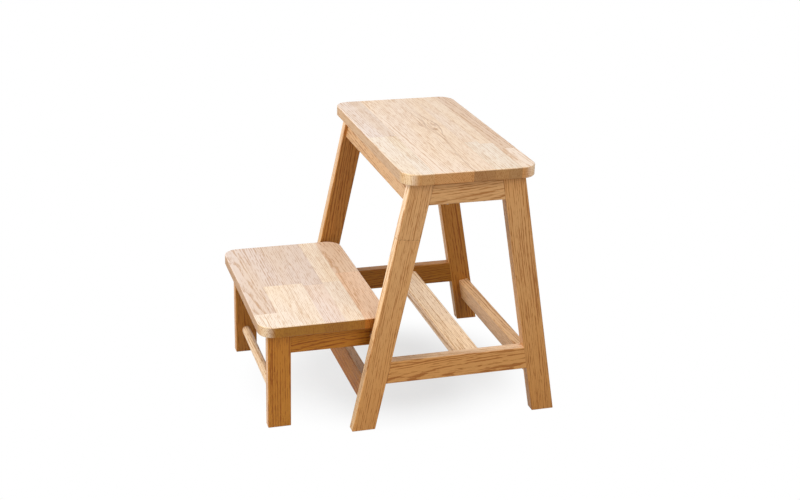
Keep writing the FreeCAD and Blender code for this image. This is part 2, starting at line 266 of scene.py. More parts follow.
class StageSettings(bpy.types.PropertyGroup):
    """Floor, lamps and camera."""

    floor_colour: colour_setting("Floor", "Colour of the floor as it lights the stool", (0.60, 0.60, 0.60))
    # Painted shadow: the floor that the camera sees under the stool is this darker grey.
    painted_shadow_colour: colour_setting("Shadow floor", "Colour of the floor in its shadow", (0.55, 0.58, 0.61))
    shadow: share_setting("Shadow", "How much of the shadow on the floor is seen", 0.30)
    shadow_middle: FloatVectorProperty(
        name="Shadow middle", description="Middle of the part of the floor where the shadow is seen",
        size=2, default=(0.0, 0.02), subtype="XYZ_LENGTH")
    shadow_reach: FloatVectorProperty(
        name="Shadow reach", description="How far from there the shadow is seen, across and along",
        size=2, default=(0.24, 0.30), min=0.05, subtype="XYZ_LENGTH")
    sky: FloatProperty(name="Sky", description="Light from all round", default=0.25, min=0.0)
    key: FloatProperty(
        name="Key lamp", description="Lamp in front of the step", default=88.0, min=0.0, unit="POWER")
    fill: FloatProperty(
        name="Fill lamp", description="Lamp beside the camera", default=40.0, min=0.0, unit="POWER")
    azimuth: FloatProperty(
        name="Azimuth", description="Camera's way round the stool from the front", subtype="ANGLE",
        default=radians(74.98))
    elevation: FloatProperty(
        name="Elevation", description="Camera's height above the horizon", subtype="ANGLE",
        default=radians(21.09))
    roll: FloatProperty(name="Roll", description="Camera's roll", subtype="ANGLE", default=radians(0.75))
    distance: length_setting("Distance", "From the camera to its target", 2.31024, 0.1)
    target: FloatVectorProperty(
        name="Target", description="Point that the camera looks at", subtype="TRANSLATION",
        default=(0.0, -0.07324, 0.27691))
    lens: FloatProperty(
        name="Lens", description="Focal length on a 36 mm sensor", unit="CAMERA", default=58.482,
        min=1.0)
    shift: FloatVectorProperty(
        name="Shift", description="Shift of the frame, as a share of its width",
        size=2, default=(0.0709, -0.0172))


class Graph:
    """A node tree that is being made, with short ways to add and join its nodes."""

    def __init__(self, tree):
        self.tree = tree

    def add(self, kind, inputs=None, **settings):
        """Adds a node, sets its properties, and sets or joins its inputs by name or place."""
        node = self.tree.nodes.new(kind)
        for name, value in settings.items():
            setattr(node, name, value)
        for name, value in (inputs or {}).items():
            self.put(node.inputs[name], value)
        return node

    def put(self, socket, value):
        """Joins a socket to another, or gives it a plain value."""
        if isinstance(value, bpy.types.NodeSocket):
            self.tree.links.new(value, socket)
        else:
            socket.default_value = value

    def math(self, operation, *values):
        """One number worked out from others."""
        return self.add("ShaderNodeMath", dict(enumerate(values)), operation=operation).outputs[0]

    def vector(self, operation, *values):
        """One vector worked out from others."""
        return self.add("ShaderNodeVectorMath", dict(enumerate(values)), operation=operation).outputs[0]

    def length(self, value):
        """How long a vector is."""
        return self.add("ShaderNodeVectorMath", {0: value}, operation="LENGTH").outputs["Value"]

    def split(self, value):
        """The three parts of a vector."""
        return self.add("ShaderNodeSeparateXYZ", {0: value}).outputs

    def join(self, x, y, z):
        """A vector from its three parts."""
        return self.add("ShaderNodeCombineXYZ", {0: x, 1: y, 2: z}).outputs[0]

    def ease(self, value, start, end, low=0.0, high=1.0):
        """A smooth step from low to high while value goes from start to end."""
        inputs = {"Value": value, "From Min": start, "From Max": end, "To Min": low, "To Max": high}
        return self.add("ShaderNodeMapRange", inputs, interpolation_type="SMOOTHSTEP").outputs[0]

    def noise(self, place, scales, detail=1.0):
        """Smooth noise with so many bumps to the metre each way. Returns the node's outputs."""
        scaled = self.vector("MULTIPLY", place, scales)
        return self.add("ShaderNodeTexNoise", {"Vector": scaled, "Scale": 1.0, "Detail": detail}).outputs

    def swing(self, place, scales, detail=1.0):
        """Noise on both sides of 0, as one number."""
        return self.math("SUBTRACT", self.noise(place, scales, detail)["Fac"], 0.5)

    def wander(self, place, scales, reach, detail=1.0):
        """Noise on both sides of 0, as a vector that reaches half so far each way."""
        swings = self.vector("SUBTRACT", self.noise(place, scales, detail)["Color"], (0.5, 0.5, 0.5))
        return self.vector("MULTIPLY", swings, reach)

    def bell(self, value):
        """1 where value is 0, and ever less to both sides of it."""
        return self.math("EXPONENT", self.math("MULTIPLY", self.math("MULTIPLY", value, value), -1.0))

    def blend(self, share, first, second, kind="MIX"):
        """Two colours mixed, or with MULTIPLY the first colour under a share of a tint."""
        node = self.add("ShaderNodeMix", data_type="RGBA", blend_type=kind)
        for name, value in (("Factor_Float", share), ("A_Color", first), ("B_Color", second)):
            self.put(next(socket for socket in node.inputs if socket.identifier == name), value)
        return next(socket for socket in node.outputs if socket.identifier == "Result_Color")


def add_sockets(tree, inputs, outputs):
    """Gives a group its named inputs and outputs. Each is a name, a kind and, on an input, a default."""
    for name, kind, default in inputs:
        socket = tree.interface.new_socket(name, in_out="INPUT", socket_type=kind)
        if default is not None:
            socket.default_value = default
    for name, kind in outputs:
        tree.interface.new_socket(name, in_out="OUTPUT", socket_type=kind)


def colour4(colour, light=1.0):
    """A colour as a shader takes it, made lighter or darker."""
    return (*(min(1.0, part * light) for part in colour), 1.0)


# Bumps to the metre of the noises in oak, along the grain and across it both ways. The rays' are to the
# metre along the trunk and out from its pith, and to the radian round it.
TRUNK_WAVES = (4.0, 11.0, 11.0)
TRUNK_RIPPLES = (38.0, 120.0, 120.0)
UNEVEN_YEARS = (130.0, 1.0, 1.0)
PORE_TICKS = (60.0, 540.0, 540.0)
PORE_DASHES = (52.0, 1500.0, 1500.0)
COLOUR_STREAKS = (1.8, 34.0, 34.0)
GOLDEN_DRIFT = (3.0, 18.0, 18.0)
FIBRES_ACROSS = 330.0
RAYS = (85.0, 55.0, 120.0)

BAR_FIBRE, STAVE_FIBRE = 0.09, 0.035
RIPPLE_REACH = 0.0009
# By how many years' growth the rings' width wanders.
YEAR_DRIFT = 2.2
# Shares of a year: early wood thins out from the first to the second, and starts from the third to the end.
EARLY_HOLDS, EARLY_ENDS, NEXT_STARTS = 0.04, 0.55, 0.88
# How strong the early wood of the weakest year is, and how much more that of the strongest.
LEAST_VIGOUR, VIGOUR_RANGE = 0.45, 0.7
# What each part of the figure takes away from the colour of late wood. Early wood, ticks and pores only
# take away, so the even share brings the mean back to 0. The mean density is then what a plain face has.
DENSITY_SHARES = {"early": 0.42, "ticks": 0.5, "pores": 0.35, "flecks": -0.2, "fibres": 1.3, "streaks": 0.6}
EVEN_SHARE, MEAN_DENSITY = -0.29, 0.39
# Between which levels of their noise ticks, flecks and golden wood grow to the full.
TICK_FROM, TICK_FULL = 0.5, 0.66
FLECK_FROM, FLECK_FULL = 0.66, 0.74
GOLD_FROM, GOLD_FULL = 0.35, 0.65
# How strong ticks are in late wood, and how much stronger in early wood.
LATE_TICKS, EARLY_TICKS = 0.35, 0.65
# From which level of its noise a pore shows in late wood, what early wood adds to that level, and how soon
# above it the pore is full.
PORE_FROM, EARLY_PORES, PORE_RISE = 0.66, -0.10, 0.07
PORE_ROUGHNESS, EARLY_ROUGHNESS = 0.2, 0.08
EARLY_RELIEF, RELIEF_STRENGTH = 0.25, 0.6
GOLDEN_TINT = (0.99, 0.95, 0.87, 1.0)
END_TINT = (0.78, 0.62, 0.46)
# How suddenly a face takes the tint of the side and of the end as it turns that way.
SIDE_SHARPNESS, END_SHARPNESS = 4.0, 9.0
OIL_IOR, OIL_SPECULAR = 1.47, 0.25


def oak_rings(graph, place, given):
    """Early wood at a point, and the point's place in the trunk: along it, out from the pith, round it."""
    # The trunk wanders in long waves and short ripples. The pith is at y = z = 0.
    waviness = graph.join(0.0, given["Waviness"], given["Waviness"])
    waves = graph.wander(place, TRUNK_WAVES, waviness, 2.0)
    ripples = graph.wander(place, TRUNK_RIPPLES, (0.0, RIPPLE_REACH, RIPPLE_REACH))
    trunk = graph.vector("ADD", place, graph.vector("ADD", waves, ripples))
    along, side, depth = graph.split(trunk)
    taper = graph.math("MULTIPLY", along, given["Taper"])
    radius = graph.math("SUBTRACT", graph.length(graph.join(0.0, side, depth)), taper)
    uneven = graph.noise(graph.join(radius, 0.0, 0.0), UNEVEN_YEARS)["Fac"]
    years = graph.math("DIVIDE", radius, given["Ring width"])
    years = graph.math("MULTIPLY_ADD", uneven, YEAR_DRIFT, years)
    season = graph.math("FRACT", years)
    year = graph.add("ShaderNodeTexWhiteNoise", {"W": graph.math("FLOOR", years)}, noise_dimensions="1D")
    vigour = graph.math("MULTIPLY_ADD", year.outputs["Value"], VIGOUR_RANGE, LEAST_VIGOUR)
    ending = graph.ease(season, EARLY_HOLDS, EARLY_ENDS, 1.0, 0.0)
    early = graph.math("MAXIMUM", ending, graph.ease(season, NEXT_STARTS, 1.0))
    return graph.math("MULTIPLY", early, vigour), along, radius, graph.math("ARCTAN2", side, depth)


def oak_pores(graph, place, early):
    """Coarse ticks, where pores run together, and single pores. Most of both are in early wood."""
    ticks = graph.ease(graph.noise(place, PORE_TICKS)["Fac"], TICK_FROM, TICK_FULL)
    ticks = graph.math("MULTIPLY", ticks, graph.math("MULTIPLY_ADD", early, EARLY_TICKS, LATE_TICKS))
    dashes = graph.noise(place, PORE_DASHES)["Fac"]
    edge = graph.math("MULTIPLY_ADD", early, EARLY_PORES, PORE_FROM)
    return ticks, graph.ease(graph.math("SUBTRACT", dashes, edge), 0.0, PORE_RISE)


def oak_density(graph, parts, contrast):
    """How much of the late wood's colour the parts of the figure take away."""
    density = EVEN_SHARE
    for name, share in DENSITY_SHARES.items():
        density = graph.math("MULTIPLY_ADD", parts[name], share, density)
    density = graph.math("MULTIPLY_ADD", density, contrast, MEAN_DENSITY)
    return graph.add("ShaderNodeClamp", {"Value": density}).outputs[0]


def oak_tone(graph, place, given, density):
    """The wood's colour: golden here and there, dark where it is dense, tinted on ends, and tinted on sides
    with partly painted light and shade.
    """
    drift = graph.ease(graph.noise(place, GOLDEN_DRIFT)["Fac"], GOLD_FROM, GOLD_FULL)
    tone = graph.blend(drift, given["Colour"], GOLDEN_TINT, "MULTIPLY")
    tone = graph.blend(density, tone, given["Ring tint"], "MULTIPLY")
    end, side, _ = graph.split(given["Facing"])
    for facing, tint, sharpness in ((side, "Side tint", SIDE_SHARPNESS), (end, "End tint", END_SHARPNESS)):
        share = graph.math("POWER", graph.math("ABSOLUTE", facing), sharpness)
        tone = graph.blend(share, tone, given[tint], "MULTIPLY")
    return tone


def oak_group():
    """The figure of oak, once for all pieces, with the grain along X."""
    name = "oak_figure"
    if name in bpy.data.node_groups:
        return bpy.data.node_groups[name]
    oak, plain = bpy.context.scene.stool_oak, FIGURES["plain"]
    tree = bpy.data.node_groups.new(name, "ShaderNodeTree")
    add_sockets(
        tree,
        [
            ("Place", "NodeSocketVector", None),
            ("Facing", "NodeSocketVector", None),
            ("Colour", "NodeSocketColor", colour4(oak.colour)),
            ("Ring tint", "NodeSocketColor", colour4(oak.ring_tint)),
            ("Side tint", "NodeSocketColor", WHITE),
            ("End tint", "NodeSocketColor", colour4(END_TINT)),
            ("Contrast", "NodeSocketFloat", plain.contrast),
            ("Ring width", "NodeSocketFloat", plain.ring),
            ("Taper", "NodeSocketFloat", plain.taper),
            ("Waviness", "NodeSocketFloat", plain.waviness),
            ("Fibre length", "NodeSocketFloat", BAR_FIBRE),
            ("Roughness", "NodeSocketFloat", oak.roughness),
            ("Pore depth", "NodeSocketFloat", oak.pore_depth),
        ],
        [("Colour", "NodeSocketColor"), ("Roughness", "NodeSocketFloat"), ("Normal", "NodeSocketVector")],
    )
    graph = Graph(tree)
    given = graph.add("NodeGroupInput").outputs
    place = given["Place"]
    early, along, radius, angle = oak_rings(graph, place, given)
    ticks, pores = oak_pores(graph, place, early)
    # Rays stand across the rings: pale flecks on a quarter sawn face, fine pale lines on a flat sawn one.
    rays = graph.noise(graph.join(along, radius, angle), RAYS)["Fac"]
    fineness = graph.join(graph.math("DIVIDE", 1.0, given["Fibre length"]), FIBRES_ACROSS, FIBRES_ACROSS)
    parts = {
        "early": early,
        "ticks": ticks,
        "pores": pores,
        "flecks": graph.ease(rays, FLECK_FROM, FLECK_FULL),
        "fibres": graph.swing(place, fineness, 2.0),
        "streaks": graph.swing(place, COLOUR_STREAKS, 2.0),
    }
    density = oak_density(graph, parts, given["Contrast"])
    rough = graph.math("MULTIPLY_ADD", pores, PORE_ROUGHNESS, given["Roughness"])
    rough = graph.math("MULTIPLY_ADD", early, EARLY_ROUGHNESS, rough)
    height = graph.math("MULTIPLY", graph.math("MULTIPLY_ADD", early, EARLY_RELIEF, pores), -1.0)
    relief = {"Strength": RELIEF_STRENGTH, "Distance": given["Pore depth"], "Height": height}
    bump = graph.add("ShaderNodeBump", relief)
    results = {
        "Colour": oak_tone(graph, place, given, density),
        "Roughness": rough,
        "Normal": bump.outputs[0],
    }
    graph.add("NodeGroupOutput", results)
    return tree


def new_material(name):
    """An empty material and its graph."""
    material = bpy.data.materials.new(name)
    material.use_nodes = True
    material.node_tree.nodes.clear()
    return material, Graph(material.node_tree)


def close_oak(graph, place, facing, inputs):
    """Ends a material with the oak figure and one shader."""
    figure = graph.add("ShaderNodeGroup", node_tree=oak_group())
    for name, value in {"Place": place, "Facing": facing, **inputs}.items():
        graph.put(figure.inputs[name], value)
    shader = graph.add(
        "ShaderNodeBsdfPrincipled",
        {
            "Base Color": figure.outputs["Colour"],
            "Roughness": figure.outputs["Roughness"],
            "Normal": figure.outputs["Normal"],
            "IOR": OIL_IOR,
            "Specular IOR Level": OIL_SPECULAR,
        },
    )
    graph.add("ShaderNodeOutputMaterial", {"Surface": shader.outputs[0]})


# Where in a log a piece comes from: anywhere within so many metres either way along it, so far from the
# pith, and further out the nearer it is to quarter sawn.
LOG_REACH = 5
NEAR_PITH = (0.02, 0.04)
FURTHER_OUT = (0.03, 0.07)


def log_place(rng, sawn):
    """Where in the log the middle of a piece comes from. The pith is at y = z = 0."""
    turn = radians(sawn)
    out = rng.uniform(*NEAR_PITH) + sin(turn) * rng.uniform(*FURTHER_OUT)
    return Vector((rng.uniform(-LOG_REACH, LOG_REACH), out * sin(turn), out * cos(turn)))


def grain_rows(bar):
    """Rows that turn the stool's coordinates: X along the bar's grain and Z out of its wide face."""
    run = Matrix.Rotation(radians(bar.runout), 3, bar.run.cross(bar.wide)) @ bar.run
    side = bar.wide.cross(run).normalized()
    return Matrix((run, side, run.cross(side)))


def oak_material(bar):
    """The finish of one bar, with its grain along it."""
    oak, figure = bpy.context.scene.stool_oak, FIGURES[bar.figure]
    material, graph = new_material("oak_" + bar.node)
    low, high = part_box(bar.node)
    rows = grain_rows(bar)
    origin = log_place(random.Random(bar.node), bar.sawn) - rows @ ((low + high) / 2)
    turn = rows.to_euler()
    spot = graph.add("ShaderNodeTexCoord").outputs
    moved = {"Vector": spot["Object"], "Rotation": turn, "Location": origin}
    place = graph.add("ShaderNodeMapping", moved).outputs[0]
    turned = {"Vector": spot["Normal"], "Rotation": turn}
    facing = graph.add("ShaderNodeMapping", turned, vector_type="VECTOR").outputs[0]
    plain = Vector(oak.round_colour if bar in ROUND_BARS else oak.colour)
    colour = plain.lerp(Vector(oak.warm_colour if bar.warm > 0 else oak.pale_colour), abs(bar.warm))
    # Partly painted highlight: the narrow faces move toward the paler edge colour.
    side = colour.lerp(Vector(oak.edge_and_highlight_colour), bar.edge)
    tone = colour4(colour, bar.light)
    # Darker and redder towards the foot.
    if bar in LEGS:
        foot_tone = colour4(colour.lerp(Vector(oak.warm_colour), oak.foot_darkening), bar.light)
        height = graph.ease(graph.split(spot["Object"])[2], low.z, high.z)
        tone = graph.blend(height, foot_tone, tone)
    if bar.node in FINGER_JOINTS:
        foot = Vector(((low.x + high.x) / 2, high.y if bar.run.y < 0 else low.y, low.z))
        joint = foot + bar.run * ((FINGER_JOINTS[bar.node] - foot.z) / bar.run.z)
        place, tone = two_lengths(graph, spot["Object"], place, joint, bar.run + UP, tone)
    inputs = {
        "Colour": tone,
        "Side tint": (*(part / whole for part, whole in zip(side, colour)), 1.0),
        "Contrast": figure.contrast,
        "Ring width": figure.ring,
        "Taper": figure.taper,
        "Waviness": figure.waviness,
    }
    close_oak(graph, place, facing, inputs)
    return material


# A finger joint seen on a face: how far apart its fingers are, which share of that is the tip of one, how
# far tips and glue reach above and below it, and how much of the glue's colour each shows.
FINGER_SPACING, TIP_SHARE = 0.007, 0.3
TIP_REACH, GLUE_REACH = 0.0011, 0.0004
TIP_DARKNESS, GLUE_DARKNESS = 0.5, 0.25
GLUE_COLOUR = (0.2, 0.09, 0.03, 1.0)
# The wood above the joint: how far from the lower wood it comes in the log, and how its colour differs.
UPPER_WOOD = (0.03, 0.0013, -0.0016)
UPPER_TINT = (0.98, 0.99, 1.02, 1.0)


def two_lengths(graph, spot, place, joint, across, tone):
    """Goes on with other wood above a finger joint that lies square to across. Returns place and tone."""
    away = {0: graph.vector("SUBTRACT", spot, joint), 1: across.normalized()}
    above = graph.add("ShaderNodeVectorMath", away, operation="DOT_PRODUCT").outputs["Value"]
    upper = graph.math("GREATER_THAN", above, 0.0)
    shift = graph.vector("MULTIPLY", graph.join(upper, upper, upper), UPPER_WOOD)
    place = graph.vector("ADD", place, shift)
    tone = graph.blend(upper, tone, UPPER_TINT, "MULTIPLY")
    gap = graph.math("ABSOLUTE", above)
    glue = graph.math("LESS_THAN", gap, GLUE_REACH)
    fingers = graph.math("FRACT", graph.math("DIVIDE", graph.split(place)[1], FINGER_SPACING))
    tips = graph.math("LESS_THAN", fingers, TIP_SHARE)
    tips = graph.math("MULTIPLY", tips, graph.math("LESS_THAN", gap, TIP_REACH))
    glue = graph.math("MULTIPLY", glue, GLUE_DARKNESS)
    dark = graph.math("MAXIMUM", glue, graph.math("MULTIPLY", tips, TIP_DARKNESS))
    return place, graph.blend(dark, tone, GLUE_COLOUR)


def finish_bars(bars):
    """Gives each bar of a group its own piece of oak."""
    for bar in bars:
        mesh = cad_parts[bar.node].data
        mesh.materials.clear()
        mesh.materials.append(oak_material(bar))


KNOT_CLOUDS = (130.0, 260.0, 130.0)
# How much the grain spreads round a knot, how ragged its core is, and between which shares of the core's
# radii it fades out.
KNOT_SPREAD, KNOT_RAGGED = 0.8, 2.2
CORE_HOLDS, CORE_ENDS = 0.2, 1.2
KNOT_TINT = (0.74, 0.65, 0.60, 1.0)


def round_knots(graph, spot, knots):
    """Bends the grain round knots. Returns the bent place, and how much of a dark core is at a point."""
    place, core = spot, 0.0
    cloud = graph.swing(spot, KNOT_CLOUDS, 2.0)
    for knot in knots:
        away = graph.vector("SUBTRACT", spot, (knot.x, knot.y, 0.0))
        pull = graph.bell(graph.length(graph.vector("DIVIDE", away, (knot.reach, knot.width, 1.0))))
        bend = graph.math("MULTIPLY", graph.math("MULTIPLY", pull, -KNOT_SPREAD), graph.split(away)[1])
        place = graph.vector("ADD", place, graph.join(0.0, bend, 0.0))
        inside = graph.length(graph.vector("DIVIDE", away, (knot.core_length, knot.core_width, 1.0)))
        inside = graph.math("MULTIPLY_ADD", cloud, KNOT_RAGGED, inside)
        core = graph.math("MAXIMUM", core, graph.ease(inside, CORE_HOLDS, CORE_ENDS, 1.0, 0.0))
    return place, core


VEIN_BENDS = (30.0, 1.0, 1.0)
VEIN_WANDER = 0.005
# How far from its middle a vein is dark all over, and how far away it has faded out.
VEIN_HOLDS, VEIN_ENDS = 0.0004, 0.0018
VEIN_TINT = (0.56, 0.42, 0.33, 1.0)


def follow_veins(graph, spot, veins):
    """How much of a dark line along the grain is at a point."""
    x, y, _ = graph.split(spot)
    wander = graph.swing(spot, VEIN_BENDS, 2.0)
    dark = 0.0
    for vein in veins:
        bow = graph.bell(graph.math("DIVIDE", graph.math("SUBTRACT", x, vein.x), vein.reach))
        line = graph.math("MULTIPLY_ADD", bow, vein.rise, vein.y)
        line = graph.math("MULTIPLY_ADD", wander, VEIN_WANDER, line)
        gap = graph.math("ABSOLUTE", graph.math("SUBTRACT", y, line))
        # The fourth root of the bell is twice as long as the bell.
        fade = graph.math("MULTIPLY", graph.math("POWER", bow, 0.25), vein.dark)
        line = graph.math("MULTIPLY", graph.ease(gap, VEIN_HOLDS, VEIN_ENDS, 1.0, 0.0), fade)
        dark = graph.math("MAXIMUM", dark, line)
    return dark


# A face whose normal's Z is below the first points down. The second is the least that the normal's level
# part is taken to be.
FACES_DOWN, LEAST_LEVEL = -0.1, 0.5


def level_facing(graph, normal):
    """Which way a face of a board points. The chamfer under its edge counts as part of the side."""
    x, y, z = graph.split(normal)
    level = graph.math("MAXIMUM", graph.length(graph.join(x, y, 0.0)), LEAST_LEVEL)
    gain = graph.math("SUBTRACT", graph.math("DIVIDE", 1.0, level), 1.0)
    gain = graph.math("MULTIPLY_ADD", graph.math("LESS_THAN", z, FACES_DOWN), gain, 1.0)
    return graph.vector("MULTIPLY", normal, graph.join(gain, gain, gain))


# Painted highlight: the rounding along a board's two ends is lighter and golden. How far its face is turned
# to
# the end there: it starts between the first two and stops between the last two.
RIM_FROM, RIM_FULL, RIM_HOLDS, RIM_ENDS = 0.1, 0.4, 0.8, 0.97
RIM_HIGHLIGHT_TINT = (1.07, 0.98, 0.80, 1.0)
# Noise that is the same all over a stave, the levels of it that give the darkest and the lightest end, and
# how light these are.
STAVE_NOISE = (0.7, 0.7, 0.7)
DARKEST_LEVEL, LIGHTEST_LEVEL = 0.4, 0.6
DARKEST_END, LIGHTEST_END = 0.80, 1.2


def board_material(board):
    """The finish of a board, whose staves carry their own colour, figure and place in a log."""
    material, graph = new_material("oak_" + board.name)
    spot = graph.add("ShaderNodeTexCoord").outputs
    shift = graph.add("ShaderNodeAttribute", attribute_name="stave_shift").outputs["Vector"]
    tone = graph.add("ShaderNodeAttribute", attribute_name="stave_tone").outputs["Color"]
    figure = graph.add("ShaderNodeAttribute", attribute_name="stave_figure").outputs["Vector"]
    contrast, taper, waviness = graph.split(figure)
    place, core = round_knots(graph, spot["Object"], board.knots)
    tone = graph.blend(core, tone, KNOT_TINT, "MULTIPLY")
    tone = graph.blend(follow_veins(graph, spot["Object"], board.veins), tone, VEIN_TINT, "MULTIPLY")
    # Painted highlight along the rounding of the board's ends.
    turn = graph.math("ABSOLUTE", graph.split(spot["Normal"])[0])
    rim = graph.math(
        "MULTIPLY", graph.ease(turn, RIM_FROM, RIM_FULL), graph.ease(turn, RIM_HOLDS, RIM_ENDS, 1.0, 0.0))
    tone = graph.blend(rim, tone, RIM_HIGHLIGHT_TINT, "MULTIPLY")
    own = graph.ease(graph.noise(shift, STAVE_NOISE)["Fac"], DARKEST_LEVEL, LIGHTEST_LEVEL)
    darkest, lightest = colour4(board.end_tint, DARKEST_END), colour4(board.end_tint, LIGHTEST_END)
    inputs = {
        "Colour": tone,
        "Ring tint": colour4(bpy.context.scene.stool_board.ring_tint),
        # Partly painted shade: the long sides are darker than the top, standing in for the sheen on the
        # top.
        "Side tint": colour4(board.side_tint),
        "End tint": graph.blend(own, darkest, lightest),
        "Contrast": contrast,
        "Taper": taper,
        "Waviness": waviness,
        "Fibre length": STAVE_FIBRE,
    }
    close_oak(graph, graph.vector("ADD", place, shift), level_facing(graph, spot["Normal"]), inputs)
    return material


def rounded_outline(low, high, corner, inset, steps):
    """A rectangle with round corners, drawn in by inset. Its points go against the clock from the right."""
    points = []
    radius = corner - inset
    for quarter, (x, y) in enumerate(((high.x, high.y), (low.x, high.y), (low.x, low.y), (high.x, low.y))):
        centre_x = x - corner if x > 0 else x + corner
        centre_y = y - corner if y == high.y else y + corner
        for step in range(steps + 1):
            angle = (quarter + step / steps) * pi / 2
            points.append((centre_x + radius * cos(angle), centre_y + radius * sin(angle)))
    return points


def board_profile(low, high, settings):
    """The edge of a board from below to above, as pairs of an inset and a height."""
    chamfer, top = settings.under_chamfer, settings.top_round
    points = [(chamfer, low.z), (0.0, low.z + chamfer)]
    for step in range(settings.edge_steps + 1):
        angle = step / settings.edge_steps * pi / 2
        points.append((top * (1 - cos(angle)), high.z - top * (1 - sin(angle))))
    return points


def board_blank(low, high, settings):
    """A board in one piece, before it is divided into staves."""
    blank = bmesh.new()
    rings = []
    for inset, height in board_profile(low, high, settings):
        outline = rounded_outline(low, high, settings.corner, inset, settings.corner_steps)
        rings.append([blank.verts.new((x, y, height)) for x, y in outline])
    for under, over in zip(rings, rings[1:]):
        for here in range(len(under)):
            blank.faces.new((under[here - 1], under[here], over[here], over[here - 1]))
    blank.faces.new(reversed(rings[0]))
    blank.faces.new(rings[-1])
    return blank


def slice_faces(blank, point, across, chosen):
    """Cuts the chosen faces of a board along a plane."""
    faces = [face for face in blank.faces if chosen(face.calc_center_median())]
    edges = {edge for face in faces for edge in face.edges}
    verts = {vert for face in faces for vert in face.verts}
    bmesh.ops.bisect_plane(blank, geom=[*verts, *edges, *faces], plane_co=point, plane_no=across)


def divide_staves(blank, low, high, rows, seam):
    """Cuts a board along its glue lines. Returns each stave's limits, tone, way of sawing and figure."""
    staves = []
    back = high.y
    for number, (width, parts) in enumerate(rows):
        front = low.y if number == len(rows) - 1 else back - width
        if front > low.y:
            for y in (front - seam / 2, front + seam / 2):
                slice_faces(blank, (0, y, 0), ALONG, lambda centre: True)
        left = low.x
        for tone, sawn, end, figure in parts:
            right = min(end, high.x)
            if right < high.x:
                for x in (right - seam / 2, right + seam / 2):
                    slice_faces(blank, (x, 0, 0), ACROSS, lambda centre: front < centre.y < back)
            staves.append((left, right, front, back, tone, sawn, figure))
            left = right
        back = front
    return staves


def nearest_stave(staves, x, y):
    """Which stave a point seen from above is in."""
    def outside(index):
        left, right, front, back, *_ = staves[index]
        return max(left - x, x - right, front - y, y - back)

    return min(range(len(staves)), key=outside)


# How light a stave may be against its tone, and how light a glue line is against the tan staves.
STAVE_LIGHTS = (0.985, 1.015)
GLUE_LINE_LIGHT = 0.8


def paint_staves(mesh, staves, low, high, settings, seed):
    """Gives every face the tone and the log place of its stave, and darkens the glue lines."""
    rng = random.Random(seed)
    looks = []
    for left, right, front, back, tone, sawn, figure in staves:
        middle = Vector(((left + right) / 2, (front + back) / 2, (low.z + high.z) / 2))
        light = rng.uniform(*STAVE_LIGHTS)
        shift = log_place(rng, sawn) - middle
        contrast, _, taper, waviness = FIGURES[figure]
        looks.append((Vector(getattr(settings, tone)) * light, shift, (contrast, taper, waviness)))
    tones = mesh.attributes.new("stave_tone", "FLOAT_COLOR", "CORNER")
    shifts = mesh.attributes.new("stave_shift", "FLOAT_VECTOR", "CORNER")
    figures = mesh.attributes.new("stave_figure", "FLOAT_VECTOR", "CORNER")
    half = settings.seam / 2
    for face in mesh.polygons:
        x, y = face.center.x, face.center.y
        index = nearest_stave(staves, x, y)
        left, right, front, back, *_ = staves[index]
        colour, shift, figure = looks[index]
        gaps = [abs(y - edge) for edge in (front, back) if low.y < edge < high.y]
        gaps += [abs(x - edge) for edge in (left, right) if low.x < edge < high.x]
        if min(gaps, default=1.0) < half:
            colour = Vector(settings.tan) * GLUE_LINE_LIGHT
        for corner in face.loop_indices:
            tones.data[corner].color = (*colour, 1.0)
            shifts.data[corner].vector = shift
            figures.data[corner].vector = figure


# Faces that meet at a wider angle than this keep a sharp edge.
SHARP_ANGLE = radians(32)


def make_board(board):
    """One edge-glued board in place of its CAD node."""
    settings = bpy.context.scene.stool_board
    low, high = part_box(board.node)
    blank = board_blank(low, high, settings)
    staves = divide_staves(blank, low, high, board.rows, settings.seam)
    mesh = bpy.data.meshes.new(board.name)
    blank.to_mesh(mesh)
    blank.free()
    mesh.shade_smooth()
    mesh.set_sharp_from_angle(angle=SHARP_ANGLE)
    paint_staves(mesh, staves, low, high, settings, board.name)
    mesh.materials.append(board_material(board))
    piece = bpy.data.objects.new(board.name, mesh)
    bpy.context.scene.collection.objects.link(piece)
    flat = piece.modifiers.new("flat faces", "WEIGHTED_NORMAL")
    flat.keep_sharp = True
    flat.weight = 100
    make_plain(piece)
    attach(piece, board.body)
    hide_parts(board.node)


def make_plain(piece):
    """Turns what a piece's modifiers make into its plain mesh, and takes the modifiers off."""
    bpy.context.view_layer.update()
    made = bpy.data.meshes.new_from_object(piece.evaluated_get(bpy.context.evaluated_depsgraph_get()))
    piece.modifiers.clear()
    piece.data = made


# Bumps to the metre of the turning marks and of the cloudy plating, and how deep the marks are.
TURNING_MARKS = (900.0, 900.0, 4000.0)
PLATING_CLOUDS = (240.0, 240.0, 240.0)
MARK_DEPTH = 0.00005
DULL_ZINC, BRIGHT_ZINC = 0.82, 1.12
SMOOTH_ZINC, ROUGH_ZINC = 0.26, 0.42


def zinc_material():
    """Bright zinc with faint turning marks round each head."""
    settings = bpy.context.scene.stool_screw
    material, graph = new_material("zinc")
    spot = graph.add("ShaderNodeTexCoord").outputs["Object"]
    marks = graph.noise(spot, TURNING_MARKS, 2.0)["Fac"]
    cloud = graph.noise(spot, PLATING_CLOUDS, 2.0)["Fac"]
    colour = graph.blend(cloud, colour4(settings.colour, DULL_ZINC), colour4(settings.colour, BRIGHT_ZINC))
    rough = graph.ease(marks, 0.3, 0.7, SMOOTH_ZINC, ROUGH_ZINC)
    bump = graph.add("ShaderNodeBump", {"Strength": 0.25, "Distance": MARK_DEPTH, "Height": marks})
    shader = graph.add(
        "ShaderNodeBsdfPrincipled",
        {"Base Color": colour, "Roughness": rough, "Metallic": 1.0, "Normal": bump.outputs[0]},
    )
    graph.add("ShaderNodeOutputMaterial", {"Surface": shader.outputs[0]})
    return material


